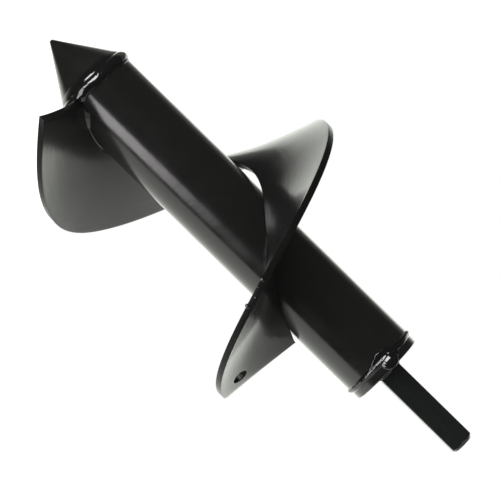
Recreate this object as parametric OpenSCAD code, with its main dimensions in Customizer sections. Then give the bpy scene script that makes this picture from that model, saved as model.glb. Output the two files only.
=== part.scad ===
// Soil auger for a power drill: a welded steel assembly.
// The axis is Z. The blunt tip is at the origin and the hex drive shank points up.
// Angles run anticlockwise seen from the shank, with 0 on +X, and the flight is right-handed.

/* [Tube] */
// Outer diameter of the tube
tube_od = 31; // [29:0.5:33]
// Wall thickness of the tube
tube_wall = 2.5; // [1.5:0.25:3]
// Height of the tube's lower end above the tip
tube_bottom = 23; // [22:0.5:24]
// Length of the tube
tube_length = 151.5; // [150:0.5:170]

/* [Nose] */
// Half angle of the nose cone, in degrees
nose_half_angle = 33.7; // [32:0.1:35]
// Radius of the blunt tip
tip_radius = 0.85; // [0.4:0.05:1.5]
// Diameter of the cone's base
nose_base_d = 30; // [28:0.5:30]
// Length of the spigot inside the tube
nose_spigot = 9; // [5:1:15]

/* [Flight] */
// Plate thickness of the flight
flight_thick = 2.5; // [1.5:0.1:3]
// Cutting diameter at the trailing end
flight_od = 102; // [90:1:110]
// Diameter at the leading edge, where the plate is drawn in as it steepens
lead_od = 95.5; // [86:0.5:100]
// Angle of the leading edge at the root, in degrees
root_start = -54.5; // [-60:0.5:-50]
// Angle of the trailing edge at the root, in degrees
root_end = 360; // [340:1:365]
// Angle by which the leading corner of the rim is ahead of the root
lead_skew = 7; // [0:1:10]
// Height of the root's top face at the leading edge
root_z = 27.5; // [27:0.5:30]
// Rise of the root in one turn
root_pitch = 103.5; // [95:0.5:106]
// Dip of the root at the middle of its length
root_sag = 3.5; // [0:0.5:4]
// Height of the rim's top face at angle 0, without its droop and its bow
rim_z = 52.6; // [50:0.1:54]
// Rise of the rim in one turn
rim_pitch = 90; // [85:0.5:95]
// Droop of the rim at the leading corner
lead_droop = 14; // [8:0.5:15]
// Angle at which the droop has run out, in degrees
droop_end = 32; // [20:1:60]
// Rise of the rim's bow on the far side of the first half turn
rim_bow = 5.5; // [0:0.5:7]
// Clearance from the tube half way up
mid_gap = 2.6; // [0.5:0.1:3]
// Clearance from the tube at the trailing end
end_gap = 1.3; // [0.5:0.1:3]
// Depth of the hollow in the top face near the trailing end
dish_depth = 1.2; // [0:0.1:2]
// Radius of the trailing outer corner
corner_radius = 4; // [2:0.5:8]

/* [Hang hole] */
// Diameter of the hole through the flight
hole_d = 6.4; // [5:0.1:8]
// Distance of the hole from the axis
hole_r = 41.4; // [38:0.1:44]
// Angle of the hole, in degrees
hole_angle = 348.5; // [340:0.5:350]

/* [End plug] */
// Diameter of the plug's flange
plug_d = 30.4; // [29:0.1:31]
// Thickness of the flange
plug_thick = 4.3; // [3:0.1:6]
// Length of the spigot inside the tube
plug_spigot = 8; // [5:1:12]

/* [Hex shank] */
// Width across the flats
hex_af = 9.525; // [8:0.005:11]
// Length that stands out of the plug
shank_out = 40.5; // [30:0.5:60]
// Length held inside the plug and the tube
shank_in = 18; // [14:1:25]
// Angle of one corner of the hexagon, in degrees
hex_turn = 24; // [0:1:60]
// Chamfer on the free end
shank_chamfer = 1.4; // [0.5:0.1:2]

/* [Welds] */
// Radius of the bead's round section at the nose
nose_bead = 2.1; // [1.5:0.1:2.6]
// Radius of the bead's round section at the plug
plug_bead = 1.9; // [1.5:0.1:2.4]
// Leg of the fillet round the shank
shank_fillet = 1.7; // [1:0.1:2.5]
// Leg of the fillets that hold the flight
flight_fillet = 3.2; // [2:0.1:4]

/* [Hidden] */
$fn = 96;

paint = [0.10, 0.10, 0.10];
clear = 0.03;                       // air between pieces that touch
tube_r = tube_od / 2;
tube_top = tube_bottom + tube_length;
bore_r = tube_r - tube_wall;
nose_r = nose_base_d / 2;
cone_h = (nose_r - tip_radius) / tan(nose_half_angle);
plug_r = plug_d / 2;
plug_top = tube_top + plug_thick;
shank_top = plug_top + shank_out;
hex_r = hex_af / 2 / cos(30);

// ---- flight, in terms of u: 0 at the leading edge, 1 at the trailing edge ----
step = 4;                           // angle between the flight's sections
spans = 4;                          // strips between the root and the rim
gap_centre = 192;                   // angle at the middle of the first gap
gap_half = 80;                      // half the angle that this gap takes
end_gap_from = 344;                 // angle at which the trailing gap starts
grow_from = -62;                    // the rim grows to its full radius between these angles
grow_to = 165;
bow_centre = 105;                   // angle at the middle of the rim's bow
bow_half = 95;                      // half the angle that the bow takes
dish_centre = 325;                  // angle at the middle of the hollow
dish_half = 45;                     // half the angle that the hollow takes
end_skew = 2;                       // angle by which the trailing corner of the rim is past the root
turn = root_end - root_start;
corner_angle = corner_radius / (flight_od / 2) * 180 / PI;

function mix(a, b, f) = a + (b - a) * f;
function limit(x) = max(0, min(1, x));
function smooth(x) = limit(x) * limit(x) * (3 - 2 * limit(x));
function hump(t, centre, half) = abs(t - centre) < half ? pow(cos(90 * (t - centre) / half), 2) : 0;

function root_angle(u) = root_start + turn * u;
function rim_angle(u) = mix(root_start - lead_skew, root_end + end_skew, u);
function root_r(u) = tube_r + 2 * clear
    + mid_gap * hump(root_angle(u), gap_centre, gap_half)
    + end_gap * smooth((root_angle(u) - end_gap_from) / (root_end - end_gap_from));
function root_top(u) = root_z + root_pitch * turn * u / 360 - root_sag * sin(180 * u);

function full_rim_r(u) = mix(lead_od, flight_od, smooth((rim_angle(u) - grow_from) / (grow_to - grow_from))) / 2;
function into_corner(u) = limit(1 - (root_end + end_skew - rim_angle(u)) / corner_angle);
function rim_r(u) = full_rim_r(u) - corner_radius * (1 - sqrt(1 - pow(into_corner(u), 2)));
function droop(t) = lead_droop * pow(limit((droop_end - t) / (droop_end - root_start + lead_skew)), 2);
function rim_top(u) = rim_z + rim_pitch * rim_angle(u) / 360 - droop(rim_angle(u))
    + rim_bow * hump(rim_angle(u), bow_centre, bow_half);

// Height of the top face at a share f of the way from the root to the rim
function plate_top(u, f) = mix(root_top(u), rim_top(u), f)
    - 4 * dish_depth * hump(root_angle(u), dish_centre, dish_half) * f * (1 - f);

function polar(r, t, z) = [r * cos(t), r * sin(t), z];
// Axial depth of a plate of the given thickness at radius r
function depth(r) = flight_thick * sqrt(1 + pow(root_pitch / (2 * PI * r), 2));

// One section of the plate: its top face from root to rim, then its lower face back to the root
function plate_point(u, f, side) =
    let (r = mix(root_r(u), rim_r(u), f))
    polar(r, mix(root_angle(u), rim_angle(u), f), plate_top(u, f) - side * depth(r));
function plate_section(u) = concat(
    [for (i = [0 : spans]) plate_point(u, i / spans, 0)],
    [for (i = [spans : -1 : 0]) plate_point(u, i / spans, 1)]);

// Skin over a list of sections, each an even number of points that run clockwise
// seen along the direction of travel's right-hand side
module sweep(sections) {
    n = len(sections[0]);
    last = len(sections) - 1;
    points = [for (s = sections) each s];
    sides = [for (k = [0 : last - 1], j = [0 : n - 1])
        let (a = k * n + j, b = k * n + (j + 1) % n)
        each [[a, b + n, b], [a, a + n, b + n]]];
    start_cap = [for (j = [1 : n / 2 - 1]) each [[j - 1, n - 1 - j, n - j], [j - 1, j, n - 1 - j]]];
    end_cap = [for (f = start_cap) [f[0] + last * n, f[2] + last * n, f[1] + last * n]];
    polyhedron(points, concat(sides, start_cap, end_cap));
}

// ---- turned and cut pieces ----

module nose_cone() {
    color(paint)
        rotate_extrude()
            polygon([[0, 0], [tip_radius * 0.6, 0], [tip_radius, tip_radius * 0.4], [nose_r, cone_h],
                     [nose_r, tube_bottom - clear], [bore_r - clear, tube_bottom - clear],
                     [bore_r - clear, tube_bottom + nose_spigot - 1],
                     [bore_r - 1, tube_bottom + nose_spigot], [0, tube_bottom + nose_spigot]]);
}

module shaft_tube() {
    color(paint)
        translate([0, 0, tube_bottom])
            difference() {
                cylinder(h = tube_length, r = tube_r);
                translate([0, 0, -1]) cylinder(h = tube_length + 2, r = bore_r);
            }
}

module hex_rod(across_flats, from, to) {
    translate([0, 0, from])
        rotate([0, 0, hex_turn])
            cylinder(h = to - from, r = across_flats / 2 / cos(30), $fn = 6);
}

module end_plug() {
    color(paint)
        difference() {
            rotate_extrude()
                polygon([[0, tube_top - plug_spigot], [bore_r - 1, tube_top - plug_spigot],
                         [bore_r - clear, tube_top - plug_spigot + 1], [bore_r - clear, tube_top + clear],
                         [plug_r, tube_top + clear], [plug_r, plug_top], [0, plug_top]]);
            hex_rod(hex_af + 2 * clear, tube_top - plug_spigot - 1, plug_top + 1);
        }
}

module hex_shank() {
    color(paint)
        intersection() {
            hex_rod(hex_af, plug_top - shank_in, shank_top);
            rotate_extrude()
                polygon([[0, plug_top - shank_in], [hex_r + 1, plug_top - shank_in],
                         [hex_r + 1, shank_top - shank_chamfer - 0.6],
                         [hex_r - shank_chamfer, shank_top], [0, shank_top]]);
        }
}

module flight() {
    u_step = step / turn;
    u_corner = 1 - corner_angle / turn;
    corner_steps = 6;
    stations = concat([for (u = [0 : u_step : u_corner - u_step / 2]) u],
                      [for (i = [0 : corner_steps]) mix(u_corner, 1, sin(90 * i / corner_steps))]);
    u_hole = (hole_angle - root_start) / turn;
    blade = rim_r(u_hole) - root_r(u_hole);
    hole_z = plate_top(u_hole, (hole_r - root_r(u_hole)) / blade);
    lean = atan(root_pitch / (2 * PI * hole_r));
    dish = atan((root_top(u_hole) - rim_top(u_hole)) / blade * cos(lean));
    color(paint)
        difference() {
            sweep([for (u = stations) plate_section(u)]);
            rotate([0, 0, hole_angle])
                translate([hole_r, 0, hole_z])
                    rotate([lean, dish, 0])
                        cylinder(h = 6 * flight_thick, d = hole_d, center = true);
        }
}

// ---- welds ----

// A ring of bead with a round section, cut back to the surfaces that it joins
module bead_ring(section_r, ring_r, z) {
    translate([0, 0, z])
        rotate_extrude()
            translate([ring_r, 0])
                circle(r = section_r, $fn = 24);
}

module nose_weld() {
    bead_z = tube_bottom + 0.7;
    color(paint)
        difference() {
            bead_ring(nose_bead, nose_r - 0.4, bead_z);
            translate([0, 0, tube_bottom - clear / 2]) cylinder(h = 2 * nose_bead, r = tube_r + clear);
            translate([0, 0, cone_h]) cylinder(h = tube_bottom - cone_h, r = nose_r + clear);
            translate([0, 0, -tip_radius / tan(nose_half_angle) - clear])
                cylinder(h = nose_r / tan(nose_half_angle) + clear, r1 = 0, r2 = nose_r + clear);
        }
}

module plug_weld() {
    color(paint)
        difference() {
            bead_ring(plug_bead, plug_r - 0.7, tube_top - 0.4);
            translate([0, 0, tube_top - 2 * plug_bead]) cylinder(h = 2 * plug_bead, r = tube_r + clear);
            translate([0, 0, tube_top - clear]) cylinder(h = plug_thick, r = plug_r + clear);
        }
}

// The lump where the weld bead round the plug was started and stopped
module plug_weld_stop() {
    lump_angle = 253;
    lump_r = 2.9;
    color(paint)
        difference() {
            for (side = [-7, 7])
                rotate([0, 0, lump_angle + side])
                    translate([plug_r - 1.2, 0, tube_top + 2]) sphere(r = lump_r, $fn = 32);
            translate([0, 0, tube_top - 2 * plug_bead]) cylinder(h = 2 * plug_bead, r = tube_r + clear);
            translate([0, 0, tube_top - 2]) cylinder(h = plug_thick + 2 + clear, r = plug_r + clear);
            bead_ring(plug_bead + clear, plug_r - 0.7, tube_top - 0.4);
        }
}

module shank_weld() {
    color(paint)
        difference() {
            translate([0, 0, plug_top + clear])
                cylinder(h = shank_fillet, r1 = hex_r + shank_fillet, r2 = hex_r + 0.3);
            hex_rod(hex_af + 2 * clear, plug_top - 1, plug_top + shank_fillet + 1);
        }
}

// A fillet along the root between two angles, on the top face (side 1) or the lower face (side -1)
module flight_fillet_weld(from, to, side) {
    inner = tube_r + clear;
    weld_steps = ceil((to - from) / step);
    ends = 0.25;                    // share of its full size that the fillet has at its ends
    sections = [for (i = [0 : weld_steps])
        let (t = mix(from, to, i / weld_steps), u = (t - root_start) / turn,
             leg = flight_fillet * mix(ends, 1, sin(180 * i / weld_steps)),
             under = side < 0 ? 1 : 0,
             foot = root_top(u) - under * depth(root_r(u)) + side * 2 * clear,
             toe = plate_top(u, (inner + leg - root_r(u)) / (rim_r(u) - root_r(u)))
                   - under * depth(inner + leg) + side * 2 * clear)
        [polar(inner, t, foot), polar(inner, t, foot + side * leg * 1.2),
         polar(inner + leg * 0.45, t, foot + side * leg * 0.55), polar(inner + leg, t, toe)]];
    color(paint) sweep(side > 0 ? sections : [for (s = sections) [s[0], s[3], s[2], s[1]]]);
}

module flight_weld_lead() flight_fillet_weld(-52, -26, 1);
module flight_weld_back() flight_fillet_weld(62, 100, -1);
module flight_weld_front() flight_fillet_weld(254, 296, -1);

nose_cone();
shaft_tube();
flight();
end_plug();
hex_shank();
nose_weld();
plug_weld();
plug_weld_stop();
shank_weld();
flight_weld_lead();
flight_weld_back();
flight_weld_front();
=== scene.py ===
"""Soil auger for a power drill: a welded steel assembly, sprayed gloss black."""
import math

import bmesh
import bpy
from mathutils import Matrix, Vector, noise


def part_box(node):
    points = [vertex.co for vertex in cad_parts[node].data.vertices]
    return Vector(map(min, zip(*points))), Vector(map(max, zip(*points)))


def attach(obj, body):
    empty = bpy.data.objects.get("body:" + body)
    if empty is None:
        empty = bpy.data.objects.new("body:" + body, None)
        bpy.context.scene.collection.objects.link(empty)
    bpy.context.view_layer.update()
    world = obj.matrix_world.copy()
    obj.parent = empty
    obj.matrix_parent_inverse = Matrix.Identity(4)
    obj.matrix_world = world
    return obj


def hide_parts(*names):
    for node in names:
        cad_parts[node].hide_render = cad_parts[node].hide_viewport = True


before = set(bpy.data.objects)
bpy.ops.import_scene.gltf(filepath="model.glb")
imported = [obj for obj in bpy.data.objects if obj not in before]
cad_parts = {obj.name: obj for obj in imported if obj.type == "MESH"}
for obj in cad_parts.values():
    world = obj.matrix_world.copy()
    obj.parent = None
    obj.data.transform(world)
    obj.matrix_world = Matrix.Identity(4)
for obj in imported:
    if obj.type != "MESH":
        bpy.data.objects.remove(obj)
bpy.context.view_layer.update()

MM = 0.001
UP = Vector((0, 0, 1))

# ---- the frame's own sizes, in millimetres ----


def box_mm(node):
    low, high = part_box(node)
    return Vector(low) / MM, Vector(high) / MM


tube_low, tube_high = box_mm("shaft_tube")
TUBE_R = tube_high.x
TUBE_BOTTOM, TUBE_TOP = tube_low.z, tube_high.z
PLUG_LOW, PLUG_HIGH = box_mm("end_plug")
PLUG_R, PLUG_TOP = PLUG_HIGH.x, PLUG_HIGH.z
CONE_R = box_mm("nose_cone")[1].x
CONE_TOP = box_mm("nose_cone")[1].z
SHANK_LOW, SHANK_HIGH = box_mm("hex_shank")
SHANK_TOP = SHANK_HIGH.z

# ---- the same design values as the CAD, in millimetres and degrees ----

TUBE_WALL = 2.5
NOSE_HALF_ANGLE = 33.7
TIP_R = 0.85
PAINT_GAP = 0.03
TUBE_BORE = TUBE_R - TUBE_WALL
SPIGOT_R = TUBE_BORE - PAINT_GAP
HEX_APOTHEM = 9.525 / 2
HEX_TURN = 24
SHANK_CHAMFER = 1.4

FLIGHT_THICK = 2.5
FLIGHT_OD, LEAD_OD = 102, 95.5
ROOT_START, ROOT_END = -54.5, 360
LEAD_SKEW, END_SKEW = 7, 2
ROOT_Z, ROOT_PITCH, ROOT_SAG = 27.5, 103.5, 3.5
RIM_Z, RIM_PITCH = 52.6, 90
LEAD_DROOP, DROOP_END = 14, 32
RIM_BOW, BOW_CENTRE, BOW_HALF = 5.5, 105, 95
GROW_FROM, GROW_TO = -62, 165
MID_GAP, GAP_CENTRE, GAP_HALF = 2.6, 192, 80
END_GAP, END_GAP_FROM = 1.3, 344
DISH, DISH_CENTRE, DISH_HALF = 1.2, 325, 45   # the hollow in the top face near the trailing end
CORNER_R = 4
HOLE_D, HOLE_R, HOLE_ANGLE = 6.4, 41.4, 348.5


def mix(a, b, f):
    return a + (b - a) * f


def limit(x):
    return max(0.0, min(1.0, x))


def smooth(x):
    x = limit(x)
    return x * x * (3 - 2 * x)


def hump(t, centre, half):
    """1 at the centre, easing to 0 at half to either side."""
    off = (t - centre) / half
    return math.cos(math.pi / 2 * off) ** 2 if abs(off) < 1 else 0.0


def polar(r, degrees, z):
    a = math.radians(degrees)
    return Vector((r * math.cos(a), r * math.sin(a), z))


# ---- the flight's shape: u runs from the leading edge (0) to the trailing edge (1) ----

TURN = ROOT_END - ROOT_START


def root_angle(u):
    return ROOT_START + TURN * u


def rim_angle(u):
    return mix(ROOT_START - LEAD_SKEW, ROOT_END + END_SKEW, u)


def root_r(u):
    """Radius of the root: on the tube, but for a gap half way up and one at the trailing end."""
    t = root_angle(u)
    trailing = smooth((t - END_GAP_FROM) / (ROOT_END - END_GAP_FROM))
    return TUBE_R + 2 * PAINT_GAP + MID_GAP * hump(t, GAP_CENTRE, GAP_HALF) + END_GAP * trailing


def root_top(u):
    return ROOT_Z + ROOT_PITCH * TURN * u / 360 - ROOT_SAG * math.sin(math.pi * u)


def rim_r(u):
    """Radius of the rim: it grows from the leading edge on, and is rounded off at the trailing corner."""
    grown = mix(LEAD_OD, FLIGHT_OD, smooth((rim_angle(u) - GROW_FROM) / (GROW_TO - GROW_FROM))) / 2
    corner_angle = math.degrees(CORNER_R / (FLIGHT_OD / 2))
    into = limit(1 - (ROOT_END + END_SKEW - rim_angle(u)) / corner_angle)
    return grown - CORNER_R * (1 - math.sqrt(1 - into * into))


def rim_top(u):
    """Height of the rim: a steady rise, with a droop at the leading corner and a bow on the far side."""
    t = rim_angle(u)
    droop = LEAD_DROOP * limit((DROOP_END - t) / (DROOP_END - ROOT_START + LEAD_SKEW)) ** 2
    return RIM_Z + RIM_PITCH * t / 360 - droop + RIM_BOW * hump(t, BOW_CENTRE, BOW_HALF)


def dish(u):
    """Depth of the hollow in the top face, half way from the root to the rim."""
    return DISH * hump(root_angle(u), DISH_CENTRE, DISH_HALF)


def plate_top(u, f):
    """A point on the flight's top face: f is 0 at the root and 1 at the rim."""
    z = mix(root_top(u), rim_top(u), f) - 4 * dish(u) * f * (1 - f)
    return polar(mix(root_r(u), rim_r(u), f), mix(root_angle(u), rim_angle(u), f), z)


def plate_normal(u, f):
    """The way the top face looks at a point, from two short steps to either side of it."""
    small = 1e-3
    along = plate_top(min(u + small, 1), f) - plate_top(max(u - small, 0), f)
    across = plate_top(u, min(f + small, 1)) - plate_top(u, max(f - small, 0))
    return across.cross(along).normalized()


# ---- mesh helpers ----


def finish_mesh(bm, name, sharp_degrees=35):
    """Turns a bmesh in millimetres into an object in metres, smooth except at real edges."""
    bmesh.ops.remove_doubles(bm, verts=bm.verts, dist=1e-4)
    bmesh.ops.recalc_face_normals(bm, faces=bm.faces)
    bmesh.ops.transform(bm, matrix=Matrix.Scale(MM, 4), verts=bm.verts)
    mesh = bpy.data.meshes.new(name)
    bm.to_mesh(mesh)
    bm.free()
    mesh.shade_smooth()
    mesh.set_sharp_from_angle(angle=math.radians(sharp_degrees))
    piece = bpy.data.objects.new(name, mesh)
    bpy.context.collection.objects.link(piece)
    return piece


def place(piece, slot, material, *nodes):
    """Rides the piece on the one rigid body and hides the CAD nodes it stands for."""
    piece.data.materials.clear()
    piece.data.materials.append(material)
    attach(piece, "root")
    if nodes:
        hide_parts(*nodes)


def lathe(profile, steps=256, closed=True):
    """A closed outline of (radius, height) points, spun round the axis."""
    bm = bmesh.new()
    verts = [bm.verts.new((r, 0, z)) for r, z in profile]
    pairs = zip(verts, verts[1:] + verts[:1]) if closed else zip(verts, verts[1:])
    edges = [bm.edges.new(pair) for pair in pairs]
    bmesh.ops.spin(bm, geom=verts + edges, cent=(0, 0, 0), axis=UP, angle=math.tau, steps=steps,
                   use_merge=True)
    return bm


def arc(cx, cz, r, start, end, steps=6):
    """Points on an arc in the (radius, height) plane, angles in degrees from the outward direction."""
    angles = [math.radians(mix(start, end, i / steps)) for i in range(steps + 1)]
    return [(cx + r * math.cos(a), cz + r * math.sin(a)) for a in angles]


def cut(piece, cutter, operation):
    """Applies a boolean, then removes the cutter."""
    boolean = piece.modifiers.new("cut", "BOOLEAN")
    boolean.operation = operation
    boolean.solver = "EXACT"
    boolean.object = cutter
    apply_modifiers(piece)
    bpy.data.objects.remove(cutter)


def apply_modifiers(piece):
    finished = piece.evaluated_get(bpy.context.evaluated_depsgraph_get())
    applied = bpy.data.meshes.new_from_object(finished)
    piece.modifiers.clear()
    piece.data = applied


# ---- materials ----


def linear(hex_colour):
    """An sRGB hex colour as a linear RGBA tuple."""
    parts = [int(hex_colour[i : i + 2], 16) / 255 for i in (1, 3, 5)]
    return tuple(c / 12.92 if c <= 0.04045 else ((c + 0.055) / 1.055) ** 2.4 for c in parts) + (1,)


# A Mix node has a set of sockets for each data type, and they share their names, so they go by number.
MIX_FACTOR, MIX_A, MIX_B, MIX_OUT = 0, 2, 3, 0
MIX_A_COLOUR, MIX_B_COLOUR, MIX_OUT_COLOUR = 6, 7, 2


def add_node(tree, kind, inputs=(), **settings):
    """Adds a node. inputs are (socket, value) pairs, where a value is a constant or another node's output."""
    node = tree.nodes.new(kind)
    for key, value in settings.items():
        setattr(node, key, value)
    for socket, value in inputs:
        if isinstance(value, bpy.types.NodeSocket):
            tree.links.new(value, node.inputs[socket])
        else:
            node.inputs[socket].default_value = value
    return node


def new_material(name):
    material = bpy.data.materials.new(name)
    material.use_nodes = True
    material.node_tree.nodes.clear()
    return material, material.node_tree


def grain(tree, spacing_mm, lengths_mm, along):
    """Noise drawn out along the surface.

    along is "turned" for marks that run round a tube, "rolled" for marks that follow a flight's arcs,
    and "even" for marks with no direction. spacing_mm is the size across the marks, lengths_mm along them.
    """
    place_in = add_node(tree, "ShaderNodeTexCoord").outputs["Object"]
    across, length = 1 / (spacing_mm * MM), 1 / (lengths_mm * MM)
    if along == "rolled":
        xyz = add_node(tree, "ShaderNodeSeparateXYZ", [("Vector", place_in)])
        flat = add_node(tree, "ShaderNodeCombineXYZ", [("X", xyz.outputs["X"]), ("Y", xyz.outputs["Y"])])
        radius = add_node(tree, "ShaderNodeVectorMath", [("Vector", flat.outputs["Vector"])],
                          operation="LENGTH")
        stretched = add_node(tree, "ShaderNodeCombineXYZ", [
            ("X", radius.outputs["Value"]), ("Y", xyz.outputs["X"]), ("Z", xyz.outputs["Y"])])
        place_in = stretched.outputs["Vector"]
        scale = (across, length, length)
    else:
        scale = (length, length, across)
    mapped = add_node(tree, "ShaderNodeMapping", [("Vector", place_in), ("Scale", scale)])
    marks = add_node(tree, "ShaderNodeTexNoise", [
        ("Vector", mapped.outputs["Vector"]), ("Scale", 1.0), ("Detail", 2.0), ("Roughness", 0.55)])
    return marks.outputs["Fac"]


def enamel(name, dark, light, roughness, marks, shine=0.5):
    """Black spray enamel. marks are (spacing, length, direction, depth) in millimetres, coarse to fine."""
    material, tree = new_material(name)
    below = []
    for spacing, length, along, depth in marks:
        height = grain(tree, spacing, length, along)
        bump = add_node(tree, "ShaderNodeBump", [
            ("Height", height), ("Distance", depth * MM), ("Strength", 1.0)] + below)
        below = [("Normal", bump.outputs["Normal"])]
    patch_mm = 9
    patches = grain(tree, patch_mm, patch_mm, "even")
    tint = add_node(tree, "ShaderNodeMix", [
        (MIX_FACTOR, patches), (MIX_A_COLOUR, linear(dark)), (MIX_B_COLOUR, linear(light))], data_type="RGBA")
    gloss = add_node(tree, "ShaderNodeMapRange", [
        ("Value", patches), ("From Min", 0.3), ("From Max", 0.7),
        ("To Min", roughness * 0.85), ("To Max", roughness * 1.15)])
    paint = add_node(tree, "ShaderNodeBsdfPrincipled", [
        ("Base Color", tint.outputs[MIX_OUT_COLOUR]), ("Roughness", gloss.outputs["Result"]),
        ("IOR", 1.5), ("Metallic", 0.0), ("Specular IOR Level", shine)] + below)
    add_node(tree, "ShaderNodeOutputMaterial", [("Surface", paint.outputs["BSDF"])])
    return material


def tube_enamel():
    """Gloss spray enamel over drawn tube: deep black, with faint marks round the tube in the shine."""
    return enamel("gloss_enamel_on_tube", "#191918", "#1c1c1b", 0.19, [
        (7, 9, "turned", 0.03), (0.9, 3, "turned", 0.012), (1.0, 1.0, "even", 0.009)])


def cone_enamel():
    """The same enamel over a turned cone, where it lies smoother."""
    return enamel("gloss_enamel_on_cone", "#1b1c1a", "#1f201d", 0.14, [
        (6, 9, "turned", 0.04), (1.2, 1.2, "even", 0.01)])


def sheet_enamel():
    """The same enamel over formed sheet: marks that follow the arcs of the flight."""
    return enamel("gloss_enamel_on_sheet", "#131413", "#171817", 0.19, [
        (11, 26, "rolled", 0.09), (2.5, 12, "rolled", 0.05), (1.5, 20, "rolled", 0.022),
        (1.1, 1.1, "even", 0.006)])


def edge_enamel():
    """The same enamel over the sheet's sheared edge, which is rougher and takes less paint."""
    return enamel("enamel_on_sheared_edge", "#111211", "#151614", 0.3, [
        (1.6, 3, "even", 0.09), (0.7, 0.7, "even", 0.03)], shine=0.1)


def bar_enamel():
    """Thinner enamel over drawn hexagon bar: smooth, but with less shine."""
    return enamel("satin_enamel_on_bar", "#191b1b", "#1e2020", 0.2, [
        (3, 9, "even", 0.02), (0.8, 0.8, "even", 0.012)], shine=0.3)


def weld_enamel():
    """Enamel pooled over weld metal: wet-looking, with small bright glints."""
    return enamel("pooled_enamel_on_weld", "#141313", "#191818", 0.09, [(1.3, 1.3, "even", 0.02)])


def run_enamel():
    """The same enamel where it lies thinner, over the smooth runs at the flight's root and the end plug."""
    return enamel("enamel_on_smooth_weld", "#171717", "#1b1a1b", 0.24, [
        (5, 5, "even", 0.06), (1, 1, "even", 0.012)])


# ---- turned pieces ----


def make_nose(material):
    """A turned cone with a blunt tip, on a spigot that fits inside the tube."""
    slope = math.radians(NOSE_HALF_ANGLE)
    cone_h = (CONE_R - TIP_R) / math.tan(slope)
    blunt = [(0, 0), (TIP_R * 0.45, 0.02), (TIP_R * 0.8, 0.16), (TIP_R * 1.02, 0.42)]
    rings = 12
    flank_r, flank_z = TIP_R * 1.2, 0.7         # where the blunt tip ends
    flank = [(mix(flank_r, CONE_R, i / rings), mix(flank_z, cone_h, i / rings)) for i in range(rings)]
    # A last narrow ring keeps the flank's shading clean up to its corner.
    base = [(CONE_R - 0.25, cone_h - 0.3), (CONE_R, cone_h), (CONE_R, TUBE_BOTTOM - PAINT_GAP)]
    chamfer = 1
    spigot = [(SPIGOT_R, TUBE_BOTTOM - PAINT_GAP), (SPIGOT_R, CONE_TOP - chamfer),
              (SPIGOT_R - chamfer, CONE_TOP), (0, CONE_TOP)]
    piece = finish_mesh(lathe(blunt + flank + base + spigot, closed=False), "nose_cone_body")
    place(piece, "gloss_black_paint", material, "nose_cone")


def make_tube(material):
    rings = 60
    outer = [(TUBE_R, mix(TUBE_BOTTOM, TUBE_TOP, i / rings)) for i in range(rings + 1)]
    inner = [(TUBE_BORE, TUBE_TOP), (TUBE_BORE, TUBE_BOTTOM)]
    piece = finish_mesh(lathe(outer + inner), "shaft_tube_body")
    place(piece, "gloss_black_paint", material, "shaft_tube")


def make_plug(material):
    """A flanged disc on a spigot. Its hole is a little small, so that no gap shows round the hexagon."""
    soft_edge, chamfer = 0.5, 1
    hole = HEX_APOTHEM - 0.2
    rim = arc(PLUG_R - soft_edge, PLUG_TOP - soft_edge, soft_edge, 0, 90)
    spigot = [(hole, PLUG_LOW.z), (SPIGOT_R - chamfer, PLUG_LOW.z), (SPIGOT_R, PLUG_LOW.z + chamfer),
              (SPIGOT_R, TUBE_TOP + PAINT_GAP)]
    outline = spigot + [(PLUG_R, TUBE_TOP + PAINT_GAP)] + rim + [(hole, PLUG_TOP)]
    piece = finish_mesh(lathe(outline), "end_plug_body")
    place(piece, "gloss_black_paint", material, "end_plug")


def make_shank(material):
    """Drawn hexagon bar with slightly rounded corners and a turned chamfer on its free end."""
    corner = HEX_APOTHEM / math.cos(math.radians(30))
    corner_softness, end_softness, sharp_degrees = 0.45, 0.5, 20
    bm = bmesh.new()
    depth = SHANK_TOP - SHANK_LOW.z
    bmesh.ops.create_cone(bm, cap_ends=True, segments=6, radius1=corner, radius2=corner, depth=depth)
    long_edges = [e for e in bm.edges if abs(e.verts[0].co.z - e.verts[1].co.z) > depth / 2]
    bmesh.ops.bevel(bm, geom=long_edges, offset=corner_softness, offset_type="OFFSET", segments=4,
                    profile=0.5, affect="EDGES", material=-1)
    # A create_cone prism has its first corner on +Y.
    turn = Matrix.Rotation(math.radians(HEX_TURN - 90), 4, "Z")
    lift = Matrix.Translation((0, 0, SHANK_LOW.z + depth / 2))
    bmesh.ops.transform(bm, matrix=lift @ turn, verts=bm.verts)
    piece = finish_mesh(bm, "hex_shank_body", sharp_degrees)

    # The turning tool's outline: it clears the corners up to the chamfer, which ends in a soft edge.
    clear_r, chamfer_from = corner + 1, SHANK_TOP - SHANK_CHAMFER - 1.2
    outline = [(0, SHANK_LOW.z - 1), (clear_r, SHANK_LOW.z - 1), (clear_r, chamfer_from)]
    soft_end = arc(corner - SHANK_CHAMFER - end_softness, SHANK_TOP - end_softness, end_softness, 35, 90)
    cutter = finish_mesh(lathe(outline + soft_end + [(0, SHANK_TOP)], 96, closed=False), "chamfer_cutter")
    cut(piece, cutter, "INTERSECT")
    piece.data.set_sharp_from_angle(angle=math.radians(sharp_degrees))
    place(piece, "satin_black_paint", material, "hex_shank")


# ---- flight ----


def plate_depth(r):
    """Height of the cut edge: the plate stands steeper near the tube, so it measures more straight down."""
    return FLIGHT_THICK * math.sqrt(1 + (ROOT_PITCH / (math.tau * r)) ** 2)


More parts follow.
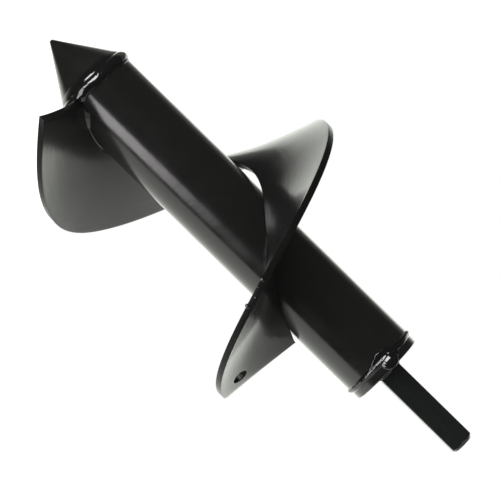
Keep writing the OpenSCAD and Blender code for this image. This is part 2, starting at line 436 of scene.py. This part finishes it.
def make_flight(material, edge_material):
    """One formed plate: a grid takes the top face's shape and is drawn down to the lower face."""
    along, across = 520, 26
    soft_edge = 0.5
    upright = 0.4                   # a face whose normal leans less than this towards the axis is a cut edge
    bm = bmesh.new()
    bmesh.ops.create_grid(bm, x_segments=along, y_segments=across, size=1)
    for v in bm.verts:
        v.co = plate_top(limit((v.co.x + 1) / 2), limit((v.co.y + 1) / 2))
    drawn = bmesh.ops.extrude_face_region(bm, geom=list(bm.faces), use_keep_orig=True)
    for v in drawn["geom"]:
        if isinstance(v, bmesh.types.BMVert):
            v.co.z -= plate_depth(math.hypot(v.co.x, v.co.y))
    piece = finish_mesh(bm, "flight_plate")
    cut(piece, hole_cutter(), "DIFFERENCE")
    edges = piece.modifiers.new("edges", "BEVEL")
    edges.width = soft_edge * MM
    edges.segments = 4
    edges.limit_method = "ANGLE"
    edges.angle_limit = math.radians(40)
    apply_modifiers(piece)
    piece.data.shade_smooth()
    piece.data.set_sharp_from_angle(angle=math.radians(35))
    place(piece, "gloss_black_paint", material, "flight")
    piece.data.materials.append(edge_material)
    for face in piece.data.polygons:
        face.material_index = 1 if abs(face.normal.z) < upright else 0


def hole_cutter():
    u = (HOLE_ANGLE - ROOT_START) / TURN
    f = (HOLE_R - root_r(u)) / (rim_r(u) - root_r(u))
    bm = bmesh.new()
    bmesh.ops.create_cone(bm, cap_ends=True, segments=64, radius1=HOLE_D / 2, radius2=HOLE_D / 2,
                          depth=6 * FLIGHT_THICK)
    normal = plate_normal(u, f)
    turn = UP.rotation_difference(normal).to_matrix().to_4x4()
    bmesh.ops.transform(bm, matrix=Matrix.Translation(plate_top(u, f)) @ turn, verts=bm.verts)
    return finish_mesh(bm, "hole_cutter")


# ---- welds ----

WELD_SHARP = 80                     # weld metal is smooth but for folds sharper than this, in degrees
SUNK_EDGE = 0.25                    # how far a bead's skin dips under the surface where there is no metal
STOP_ANGLE = 256                    # where the bead round the plug was started and stopped


def ripple(t, z, seed):
    """Lumpiness of a bead, from -1 to 1: slow swells, the ripples left by each pass, and fine grit."""
    p = polar(10, t, z)
    swell = noise.noise(p * 0.16 + Vector((seed, 0, 0)))
    pass_marks = noise.noise(p * 0.55 + Vector((0, seed, 0)))
    grit = noise.noise(p * 1.5 + Vector((0, 0, seed)))
    return 0.5 * swell + 0.35 * pass_marks + 0.15 * grit


def weld_band(name, under, z_from, z_to, height, steps=420, rows=44):
    """A skin of weld metal round the axis.

    under(z) is the radius of the surface below it, and height(t, z) is how far it stands proud.
    Its edges dip under that surface, so that it runs out in an uneven line.
    """
    sunk = 0.9
    outer = [(under(z), z) for z in (mix(z_from, z_to, i / rows) for i in range(rows + 1))]
    bm = lathe(outer + [(under(z_to) - sunk, z_to), (under(z_from) - sunk, z_from)], steps)
    for v in bm.verts:
        r, z = math.hypot(v.co.x, v.co.y), v.co.z
        if r < under(z) - sunk / 2:
            continue
        t = math.degrees(math.atan2(v.co.y, v.co.x)) % 360
        v.co = polar(under(z) + height(t, z), t, z)
    return finish_mesh(bm, name, WELD_SHARP)


def nose_surface(z):
    """Radius of the cone and the tube at a height."""
    slope = math.tan(math.radians(NOSE_HALF_ANGLE))
    return min(TUBE_R, TIP_R + z * slope) if z < TUBE_BOTTOM else TUBE_R


def ridge(z, crest, half, power=1.0):
    """The rounded section of one weld run: 1 at its crest, and 0 at half its width to either side."""
    return max(0, 1 - ((z - crest) / half) ** 2) ** power


def nose_bead_height(t, z):
    """A wide low ring: one full run, a second that laps onto the cone, and a short one on the tube."""
    crest = TUBE_BOTTOM + 0.9 + 0.5 * noise.noise(polar(2, t, 0))
    half = 2.5 + 0.4 * noise.noise(polar(3, t, 5))
    full_run = 1.35 * ridge(z, crest, half, 0.8)
    on_cone = (0.35 + 0.4 * hump(t, 290, 50)) * ridge(z, TUBE_BOTTOM - 2.6, 2.2)
    on_tube = 0.75 * hump(t, 200, 50) * ridge(z, TUBE_BOTTOM + 3.1, 1.0)
    return max(full_run, on_cone, on_tube) * (1 + 0.3 * ripple(t, z, 3.1)) - SUNK_EDGE


def make_nose_weld(material):
    low, high = TUBE_BOTTOM - 6, TUBE_BOTTOM + 4
    piece = weld_band("nose_weld_bead", nose_surface, low, high, nose_bead_height)
    place(piece, "painted_weld", material, "nose_weld")


def plug_surface(z):
    return TUBE_R if z < TUBE_TOP else PLUG_R


def plug_bead_height(t, z):
    """A narrow ridge, and towards the front a low skirt that spreads down the tube to a ragged toe."""
    crest = TUBE_TOP - 0.1 + 0.3 * noise.noise(polar(2, t, 9))
    toe = TUBE_TOP - 0.9 - 3.6 * hump(t, 264, 38) + 0.7 * noise.noise(polar(8, t, 2))
    skirt = 0.8 * smooth((z - toe) / 1.0) * (1 - smooth((z - TUBE_TOP) / 0.6))
    return max(skirt, 1.2 * ridge(z, crest, 1.5, 0.7)) * (1 + 0.4 * ripple(t, z, 7.7)) - SUNK_EDGE


def make_plug_weld(material):
    low, high = TUBE_TOP - 6, TUBE_TOP + 3
    piece = weld_band("plug_weld_bead", plug_surface, low, high, plug_bead_height)
    place(piece, "painted_weld", material, "plug_weld")


def make_shank_weld(material):
    """An uneven fillet between the plug's face and the hexagon."""
    steps, rows = 240, 14
    foot, leg = HEX_APOTHEM + 1.9, 1.5
    buried_r, buried_z = HEX_APOTHEM - 0.6, PLUG_TOP - 0.4
    outline = []
    for i in range(rows + 1):
        a = math.radians(90 * i / rows)
        outline.append((foot - (foot - HEX_APOTHEM) * math.sin(a), PLUG_TOP + leg * (1 - math.cos(a))))
    bm = lathe(outline + [(buried_r, PLUG_TOP + leg), (buried_r, buried_z), (foot, buried_z)], steps)
    for v in bm.verts:
        r, z = math.hypot(v.co.x, v.co.y), v.co.z
        if r < HEX_APOTHEM - 0.3 or z < PLUG_TOP - 0.2:
            continue
        t = math.degrees(math.atan2(v.co.y, v.co.x)) % 360
        # The fillet follows the hexagon: it moves out towards each corner.
        off_corner = math.radians((t - HEX_TURN + 30) % 60 - 30)
        out_to_flat = HEX_APOTHEM / math.cos(math.radians(30) - abs(off_corner)) - HEX_APOTHEM
        bulge = 0.55 + 0.5 * ripple(t, z, 5.2)
        v.co = polar(r + out_to_flat + bulge * math.sin(math.pi * limit((z - PLUG_TOP) / leg + 0.15)), t, z)
    piece = finish_mesh(bm, "shank_weld_bead", WELD_SHARP)
    place(piece, "painted_weld", material, "shank_weld")


def blob_cluster(name, blobs, voxel_mm=0.22):
    """Drops of weld metal, run together. blobs are (centre, radius, flatness, way the flat side faces)."""
    bm = bmesh.new()
    for centre, radius, flatness, facing in blobs:
        turn = UP.rotation_difference(facing).to_matrix().to_4x4()
        place_at = Matrix.Translation(centre) @ turn @ Matrix.Diagonal((1, 1, flatness, 1))
        bmesh.ops.create_icosphere(bm, subdivisions=4, radius=radius, matrix=place_at)
    piece = finish_mesh(bm, name, WELD_SHARP)
    melt = piece.modifiers.new("melt", "REMESH")
    melt.mode = "VOXEL"
    melt.voxel_size = voxel_mm * MM
    melt.use_smooth_shade = True
    soften = piece.modifiers.new("soften", "SMOOTH")
    soften.factor = 0.5
    soften.iterations = 10
    apply_modifiers(piece)
    piece.data.shade_smooth()
    return piece


def make_plug_stop(material):
    """The big glossy lump over the plug's edge: a broad flattened drop, with smaller ones run into it."""
    # Each small drop: its angle from the stop, its height above the tube's end and its radius.
    small_drops = [(13, -0.2, 1.5), (9, 0.4, 2.0), (4, 1.9, 1.8), (-5, 1.9, 1.9), (-12, 1.3, 2.1),
                   (-16, 0.6, 1.6)]
    drop_r = PLUG_R - 1.1
    blobs = [(polar(drop_r, STOP_ANGLE + off, TUBE_TOP + up), r, 0.85, UP) for off, up, r in small_drops]
    outward = Vector((-0.1, -0.92, -0.37))
    blobs.append((polar(PLUG_R + 0.1, STOP_ANGLE + 3, TUBE_TOP + 1.2), 3.8, 0.38, outward))
    piece = blob_cluster("plug_weld_lump", blobs)
    place(piece, "painted_weld", material, "plug_weld_stop")


def fillet(name, start, end, side, leg_at, seed):
    """A hollow fillet run along the flight's root, on its top face (side 1) or its lower face (side -1).

    leg_at(k) is the fillet's size from its start (k = 0) to its end (k = 1).
    """
    steps, rows = 110, 14
    on_plate, on_tube = 1.4, 0.8    # the two legs, as shares of the fillet's size
    hollowness = 0.42
    buried = 0.7
    bm = bmesh.new()
    sections = []
    for i in range(steps + 1):
        k = i / steps
        t = mix(start, end, k)
        u = (t - ROOT_START) / TURN
        size = leg_at(k) * (1 + 0.1 * ripple(t, 30 * k, seed))
        f = limit((TUBE_R + on_plate * size - root_r(u)) / (rim_r(u) - root_r(u)))
        drop = UP * (plate_depth(root_r(u)) if side < 0 else 0)
        toe, corner = plate_top(u, f) - drop, plate_top(u, 0) - drop
        wall = polar(TUBE_R, t, corner.z + side * size * on_tube)
        points = []
        for row in range(rows + 1):
            across = row / rows
            points.append(wall.lerp(toe, across).lerp(corner, hollowness * math.sin(math.pi * across)))
        points.append(corner - UP * side * buried + polar(0.4, t, 0))
        points.append(polar(TUBE_R - 0.5, t, corner.z))
        ring = [bm.verts.new(p) for p in points]
        sections.append([bm.edges.new(pair) for pair in zip(ring, ring[1:] + ring[:1])])
    for near, far in zip(sections, sections[1:]):
        bmesh.ops.bridge_loops(bm, edges=near + far)
    bmesh.ops.holes_fill(bm, edges=sections[0] + sections[-1])
    return finish_mesh(bm, name, 60)


def make_flight_welds(material):
    """The lead weld is heavy with a thin tail, the back one is plain, and the front one swells as it goes."""
    def heavy_then_thin(k):
        return 3.6 * limit(1 - k / 0.42) ** 0.6 + 0.6

    def even_run(k):
        return 0.5 + 3.3 * math.sin(math.pi * k) ** 0.5

    def swelling_run(k):
        return 0.5 + 3.2 * smooth(k / 0.8) * limit((1 - k) / 0.14) ** 0.5

    for node, start, end, side, leg_at in (
            ("flight_weld_lead", -54, 4, 1, heavy_then_thin),
            ("flight_weld_back", 62, 100, -1, even_run),
            ("flight_weld_front", 256, 293, -1, swelling_run)):
        place(fillet(node + "_bead", start, end, side, leg_at, start), "painted_weld", material, node)


def make_spatter(material):
    """Drops of weld metal that landed on the flight's rim."""
    # Each drop: its angle, its depth below the top face and its radius.
    drops = [(279.5, 1.9, 0.75), (287, 1.1, 0.45), (292, 2.2, 0.85), (283, 2.1, 0.4)]
    blobs = []
    for t, depth, r in drops:
        u = (t - rim_angle(0)) / (rim_angle(1) - rim_angle(0))
        blobs.append((plate_top(u, 1) - UP * depth, r, 1.3, UP))
    piece = blob_cluster("weld_spatter", blobs, 0.12)
    place(piece, "painted_weld", material)


# ---- stage ----

# The camera is rolled, so that the nose is at the upper left of the view.
ROLL_ACROSS, ROLL_DOWN = 0.6995, 0.7147
VIEW_RIGHT = Vector((-ROLL_ACROSS, 0, ROLL_DOWN))
VIEW_UP = Vector((-ROLL_DOWN, 0, -ROLL_ACROSS))


def make_camera():
    """A long lens, square to the auger's axis. Lengths are in metres."""
    distance, level, aside = 1.0878, 0.10973, 0.0039
    camera = bpy.data.objects.new("camera", bpy.data.cameras.new("camera"))
    camera.data.lens = 206.3
    camera.data.sensor_width = 36
    camera.data.clip_end = 20
    back = Vector((0, -1, 0))
    rolled = Matrix((VIEW_RIGHT, VIEW_UP, back)).transposed().to_4x4()
    camera.matrix_world = Matrix.Translation((aside, -distance, level)) @ rolled
    bpy.context.collection.objects.link(camera)
    bpy.context.scene.camera = camera


def area_light(name, direction, distance, size, radiance, colour, aim=(0, 0, 0.1)):
    """A softbox of the given width and height, in metres, and surface radiance."""
    light = bpy.data.lights.new(name, "AREA")
    light.shape = "RECTANGLE"
    light.size, light.size_y = size
    light.energy = radiance * math.pi * size[0] * size[1]
    light.color = linear(colour)[:3]
    lamp = bpy.data.objects.new(name, light)
    target = Vector(aim)
    lamp.location = target + Vector(direction).normalized() * distance
    lamp.rotation_euler = (lamp.location - target).to_track_quat("Z", "Y").to_euler()
    lamp.visible_camera = False
    lamp.visible_diffuse = False
    bpy.context.collection.objects.link(lamp)


def make_world():
    """White to the camera, even light on matt surfaces, and a white sweep in a dark room for reflections."""
    seen, fill, darkest = 1.0, 0.85, 0.006
    world = bpy.data.worlds.new("studio")
    world.use_nodes = True
    tree = world.node_tree
    tree.nodes.clear()
    bpy.context.scene.world = world
    way = add_node(tree, "ShaderNodeTexCoord").outputs["Generated"]

    def glow(towards, low, high, level_at_low, level_at_high):
        """Brightness by the cosine of the angle between the way looked and a direction."""
        cosine = add_node(tree, "ShaderNodeVectorMath", [(0, way), (1, towards)], operation="DOT_PRODUCT")
        rise = add_node(tree, "ShaderNodeMapRange", [
            ("Value", cosine.outputs["Value"]), ("From Min", low), ("From Max", high),
            ("To Min", level_at_low), ("To Max", level_at_high)], interpolation_type="SMOOTHSTEP")
        return rise.outputs["Result"]

    # The white wall behind stops short above the auger, on the side that its nose points to.
    wall_face = glow((0, 1, 0), 0.38, 0.85, 0, 1.85)
    wall_top = glow((-0.925, 0, -0.485), 0.46, 0.54, 1, 0.2)
    wall = add_node(tree, "ShaderNodeMath", [(0, wall_face), (1, wall_top)], operation="MULTIPLY")
    # The sweep also runs under the auger as it lies, and is less bright towards the shank.
    table_face = glow((0.36, 1, 0.35), -0.03, 0.03, 0, 1)
    table_top = glow(-VIEW_UP, 0.18, 0.3, 0, 1)
    table = add_node(tree, "ShaderNodeMath", [(0, table_face), (1, table_top)], operation="MULTIPLY")
    table_level = glow(VIEW_RIGHT, -0.4, 0.3, 1.75, 1)
    lit_table = add_node(tree, "ShaderNodeMath", [
        (0, table.outputs["Value"]), (1, table_level)], operation="MULTIPLY")
    sweep = add_node(tree, "ShaderNodeMath", [
        (0, wall.outputs["Value"]), (1, lit_table.outputs["Value"])], operation="MAXIMUM")
    room = add_node(tree, "ShaderNodeMath", [(0, sweep.outputs["Value"]), (1, darkest)], operation="ADD")

    ray = add_node(tree, "ShaderNodeLightPath")
    lit = add_node(tree, "ShaderNodeMix", [
        (MIX_FACTOR, ray.outputs["Is Glossy Ray"]), (MIX_A, fill), (MIX_B, room.outputs["Value"])],
        data_type="FLOAT")
    strength = add_node(tree, "ShaderNodeMix", [
        (MIX_FACTOR, ray.outputs["Is Camera Ray"]), (MIX_A, lit.outputs[MIX_OUT]), (MIX_B, seen)],
        data_type="FLOAT")
    # In reflections the paper is a trace greener than the light on it.
    tint = add_node(tree, "ShaderNodeMix", [
        (MIX_FACTOR, ray.outputs["Is Glossy Ray"]), (MIX_A_COLOUR, linear("#ffffff")),
        (MIX_B_COLOUR, linear("#fcfff7"))], data_type="RGBA")
    background = add_node(tree, "ShaderNodeBackground", [
        ("Color", tint.outputs[MIX_OUT_COLOUR]), ("Strength", strength.outputs[MIX_OUT])])
    add_node(tree, "ShaderNodeOutputWorld", [("Surface", background.outputs["Background"])])


def make_floor():
    """A plain white paper floor, a little below the tip, that glows enough to carry no shadow."""
    radius, below_tip = 900, 0.6
    bm = bmesh.new()
    bmesh.ops.create_circle(bm, cap_ends=True, segments=96, radius=radius)
    bmesh.ops.translate(bm, verts=bm.verts, vec=(0, 0, -below_tip))
    floor = finish_mesh(bm, "floor")
    material, tree = new_material("white_paper")
    paper = add_node(tree, "ShaderNodeBsdfPrincipled", [
        ("Base Color", linear("#f6f6f4")), ("Roughness", 0.9), ("Specular IOR Level", 0.0),
        ("Emission Color", linear("#ffffff")), ("Emission Strength", 0.6)])
    add_node(tree, "ShaderNodeOutputMaterial", [("Surface", paper.outputs["BSDF"])])
    floor.data.materials.append(material)
    floor.visible_glossy = False
    floor.visible_shadow = False


def make_lights():
    """A tall strip that draws the band along the tube, and two softboxes in front, towards the nose."""
    strip_turn = math.radians(46)
    strip_way = (math.sin(strip_turn), -math.cos(strip_turn), 0)
    area_light("strip_softbox", strip_way, distance=0.6, size=(0.3, 0.5), radiance=8, colour="#f8f5f5",
               aim=(0, 0, -0.2))
    area_light("key_softbox", (-0.16, -0.69, -0.7), distance=0.8, size=(0.38, 0.38), radiance=18,
               colour="#ffffff")
    area_light("small_softbox", (0.26, -0.75, -0.6), distance=0.8, size=(0.2, 0.3), radiance=12,
               colour="#f8f5f5")


make_camera()
wet, smooth_run = weld_enamel(), run_enamel()
make_nose(cone_enamel())
make_tube(tube_enamel())
make_plug(smooth_run)
make_shank(bar_enamel())
make_flight(sheet_enamel(), edge_enamel())
make_nose_weld(wet)
make_plug_weld(wet)
make_plug_stop(wet)
make_shank_weld(wet)
make_flight_welds(smooth_run)
make_spatter(wet)
make_world()
make_floor()
make_lights()
bpy.context.scene.view_settings.view_transform = "Standard"
